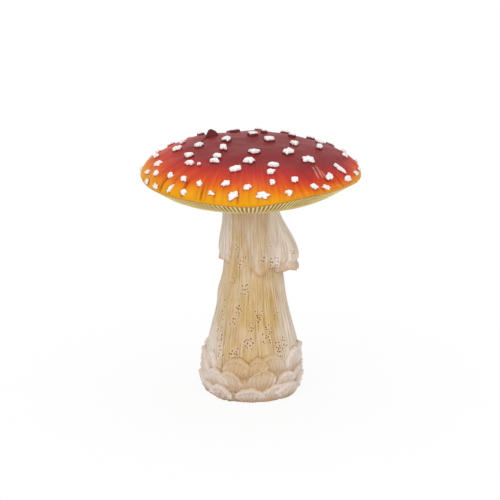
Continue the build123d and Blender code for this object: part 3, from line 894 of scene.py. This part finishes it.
# %% Find each chip and how it sits
def loose_parts(node):
    """The points of each separate solid in a node, in millimetres, in order of bearing."""
    solid = bmesh.new()
    solid.from_mesh(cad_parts[node].data)
    bmesh.ops.remove_doubles(solid, verts=solid.verts, dist=1e-6)
    seen = set()
    parts = []
    for first in solid.verts:
        if first in seen:
            continue
        seen.add(first)
        waiting = [first]
        part = []
        while waiting:
            vert = waiting.pop()
            part.append(vert.co / mm)
            for edge in vert.link_edges:
                other = edge.other_vert(vert)
                if other not in seen:
                    seen.add(other)
                    waiting.append(other)
        parts.append(part)
    solid.free()
    return sorted(parts, key=lambda part: bearing_of(sum(part, Vector()) / len(part)))


def wart_frame(part):
    """Middle of a chip on the dome, and its directions along the rim, towards the crown and out."""
    middle = (Vector(map(min, zip(*part))) + Vector(map(max, zip(*part)))) / 2
    bearing = bearing_of(middle)
    reach = min(math.hypot(middle.x, middle.y), cap_radius * 0.995)
    height = rim_height + dome_rise * math.sqrt(1 - (reach / cap_radius) ** 2)
    uphill = Vector((0, 0, (height - rim_height) / dome_rise**2))
    out = (at(bearing, reach / cap_radius**2, 0) + uphill).normalized()
    along = at(bearing + 90, 1, 0)
    return at(bearing, reach, height), along, out.cross(along), out


print("chips on the crown:", len(loose_parts("crown_warts")))

# %% Press the warts into the dome
wart_square = 8
wart_sink = 1.2
wart_spread = 1.08
shard_bearing = -129
# beyond this bearing, at the back, more of each side is bare
back_from = 118
back_bare = 0.3
# how far up its side each ring's chips are bare: the crown's show most of their sides
bare_shares = {"crown": 0.42, "upper": 0.38, "middle": 0.32, "shoulder": 0.26, "rim": 0.22}
for ring, bare_share in bare_shares.items():
    shape = bmesh.new()
    brush_layer = shape.verts.layers.float.new("brushed")
    for number, part in enumerate(loose_parts(f"{ring}_warts")):
        middle, along, inward, out = wart_frame(part)
        spans = [[(point - middle).dot(axis) for point in part] for axis in (along, inward, out)]
        half_width, half_length = [(max(span) - min(span)) / 2 * wart_spread for span in spans[:2]]
        top = max(spans[2])
        seed = number * 3.7 + len(ring)
        bearing = bearing_of(middle)
        limit = bare_share + 0.14 * noise.noise(Vector((seed, 0.3, 0.1)))
        if abs(bearing) > back_from:
            limit += back_bare
        narrowing = 0.16
        lean = 0
        if ring == "upper" and abs(turn_between(bearing, shard_bearing)) < 4:
            top *= 1.5
            lean = 0.4
            limit = 2
            narrowing = 0.5
        push_out, push_up, _ = cap_push(middle)
        skew = 0.9 * noise.noise(Vector((0.7, seed, 0.2)))
        for vert in bmesh.ops.create_icosphere(shape, subdivisions=4, radius=1)["verts"]:
            x, y, z = vert.co
            flat = math.hypot(x, y)
            squared = 1 / (flat**wart_square + abs(z) ** wart_square) ** (1 / wart_square)
            around = Vector((x, y, 0)).normalized() if flat > 0.001 else Vector()
            ragged = 1 + 0.6 * noise.noise(around * 1.4 + Vector((seed, 0, 0)))
            ragged += 0.2 * noise.noise(around * 3.2 + Vector((0, seed, 0)))
            ragged += 0.06 * noise.noise(around * 7 + Vector((0, 0, seed)))
            lump = noise.noise(Vector((x * 2.2, y * 2.2, z * 2.2 + seed)))
            chipped = noise.noise(Vector((x * 5, y * 5, z * 5 + seed)))
            rise = z * squared * (top * (1 + lean * x) if z > 0 else wart_sink)
            taper = 1 - narrowing * max(rise, 0) / top
            place = Vector((x * half_width, y * half_length, 0)) * squared * ragged * taper
            if z > 0:
                rise += 0.28 * lump + 0.24 * chipped
            place.x += skew * place.y
            place = along * place.x + inward * place.y + out * (rise + push_out)
            vert.co = middle + place + Vector((0, 0, push_up))
            vert[brush_layer] = ease(limit - 0.07, limit + 0.07, rise / top + 0.16 * lump)
    bmesh.ops.recalc_face_normals(shape, faces=shape.faces)
    finished(shape, f"{ring}_chips", wart_paint, "wart_paint", f"{ring}_warts")

# %% [markdown]
# ## Bonds
#
# Two thin rings of adhesive join the gills to the stem and to the rim: cured resin, yellowish and
# slightly glossy. The ring at the neck stays as its solid. The ring at the rim would show where the
# rim lifts, so it is spun again and lifts with the rim.

# %% Finish the bonds
bond, tree, shader, where = new_paint("cured_resin_adhesive")
cloudy = add(tree, "ShaderNodeTexNoise", Vector=where, Scale=1 / (2 * mm), Detail=2.0)
colour = add(tree, "ShaderNodeValToRGB", None, cloudy, stops=[(0.3, "#B49C6A"), (0.7, "#C8B388")])
tree.links.new(colour.outputs[0], shader.inputs["Base Color"])
shader.inputs["Roughness"].default_value = 0.45
neck_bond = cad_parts["neck_bond_ring"].material_slots[0]
neck_bond.link = "OBJECT"
neck_bond.material = bond
lip_inner_radius = cap_radius - lip_radius
bond_outer_radius = 59.5
bond_low = 126.2
bond_high = 126.5
bond_segments = 240
rim_bond = spun([
    (rim_inner_radius, bond_low), (bond_outer_radius, bond_low),
    (bond_outer_radius, bond_high), (rim_inner_radius, bond_high),
], bond_segments, ring=True)
for vert in rim_bond.verts:
    share = (math.hypot(vert.co.x, vert.co.y) - rim_inner_radius) / (lip_inner_radius - rim_inner_radius)
    vert.co.z += rim_wave(bearing_of(vert.co)) * share
finished(rim_bond, "rim_bond", bond, "bond", "rim_bond_ring")

# %% [markdown]
# ## Light and floor
#
# The photo was taken on seamless white under broad soft light, with hardly a shadow. The world is a
# plain soft light, and to the camera and in reflections it is white. Three broad lamps shape the cap.
# The floor is pale, keeps a faint shadow at the foot, and fades to the same white further out.


# %% Light the ornament
def rays_that_see_white(tree):
    """1 for rays from the camera and for reflected or refracted ones, to which the studio is white."""
    path = add(tree, "ShaderNodeLightPath")
    seen = path.outputs["Is Camera Ray"]
    for ray in ("Is Glossy Ray", "Is Transmission Ray"):
        seen = add(tree, "ShaderNodeMath", {"operation": "MAXIMUM"}, seen, path.outputs[ray])
    return seen


soft_level = 0.55
white_level = 1.0
lamp_aim = Vector((0, 0, 0.08))
world = bpy.data.worlds.new("studio")
scene.world = world
world.use_nodes = True
tree = world.node_tree
tree.nodes.clear()
seen = rays_that_see_white(tree)
soft = add(tree, "ShaderNodeBackground", Color=(1, 1, 1, 1), Strength=soft_level)
white = add(tree, "ShaderNodeBackground", Color=(1, 1, 1, 1), Strength=white_level)
either = add(tree, "ShaderNodeMixShader", None, seen, soft, white)
add(tree, "ShaderNodeOutputWorld", Surface=either.outputs[0])

# name, place and size in metres, and power in watts
lamps = [
    ("key", (-0.75, -1.1, 1.0), 0.9, 8.0),
    ("fill", (0.9, -1.0, 0.55), 0.9, 4.0),
    ("top", (0.1, 0.25, 1.3), 0.8, 4.0),
]
for name, place, size, power in lamps:
    light = bpy.data.lights.new(name, "AREA")
    light.size = size
    light.energy = power
    lamp = bpy.data.objects.new(name, light)
    scene.collection.objects.link(lamp)
    lamp.location = place
    lamp.rotation_euler = (lamp_aim - lamp.location).to_track_quat("-Z", "Y").to_euler()
print("lamps:", len(lamps))

# %% Lay the floor
floor_radius = 8.0
floor_drop = 0.05 * mm
# how far out, in metres, the floor starts and ends its fade to white, and how white it is at first
fade_start = 0.03
fade_end = 0.2
first_white = 0.92
shape = bmesh.new()
bmesh.ops.create_circle(shape, cap_ends=True, segments=64, radius=floor_radius)
mesh = bpy.data.meshes.new("floor")
shape.to_mesh(mesh)
shape.free()
floor = bpy.data.objects.new("floor", mesh)
scene.collection.objects.link(floor)
floor.location.z = -floor_drop
floor_paint, tree, shader, where = new_paint("pale_studio_floor")
shader.inputs["Base Color"].default_value = (0.85, 0.85, 0.85, 1)
shader.inputs["Roughness"].default_value = 0.9
away = add(tree, "ShaderNodeVectorMath", {"operation": "LENGTH"}, where).outputs["Value"]
fading = add(
    tree, "ShaderNodeMapRange", {"interpolation_type": "SMOOTHSTEP"},
    away, fade_start, fade_end, first_white, white_level,
)
seen = add(tree, "ShaderNodeMath", {"operation": "MULTIPLY"}, rays_that_see_white(tree), fading)
glow = add(tree, "ShaderNodeEmission", Color=(1, 1, 1, 1), Strength=white_level)
either = add(tree, "ShaderNodeMixShader", None, seen, shader, glow)
tree.links.new(either.outputs[0], tree.nodes["Material Output"].inputs["Surface"])
mesh.materials.append(floor_paint)
floor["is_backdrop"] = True
print("floor radius in metres:", floor_radius)

# %% Print the size of the finished ornament
low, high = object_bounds()
print("box in mm:", [round(value / mm, 1) for value in low], [round(value / mm, 1) for value in high])
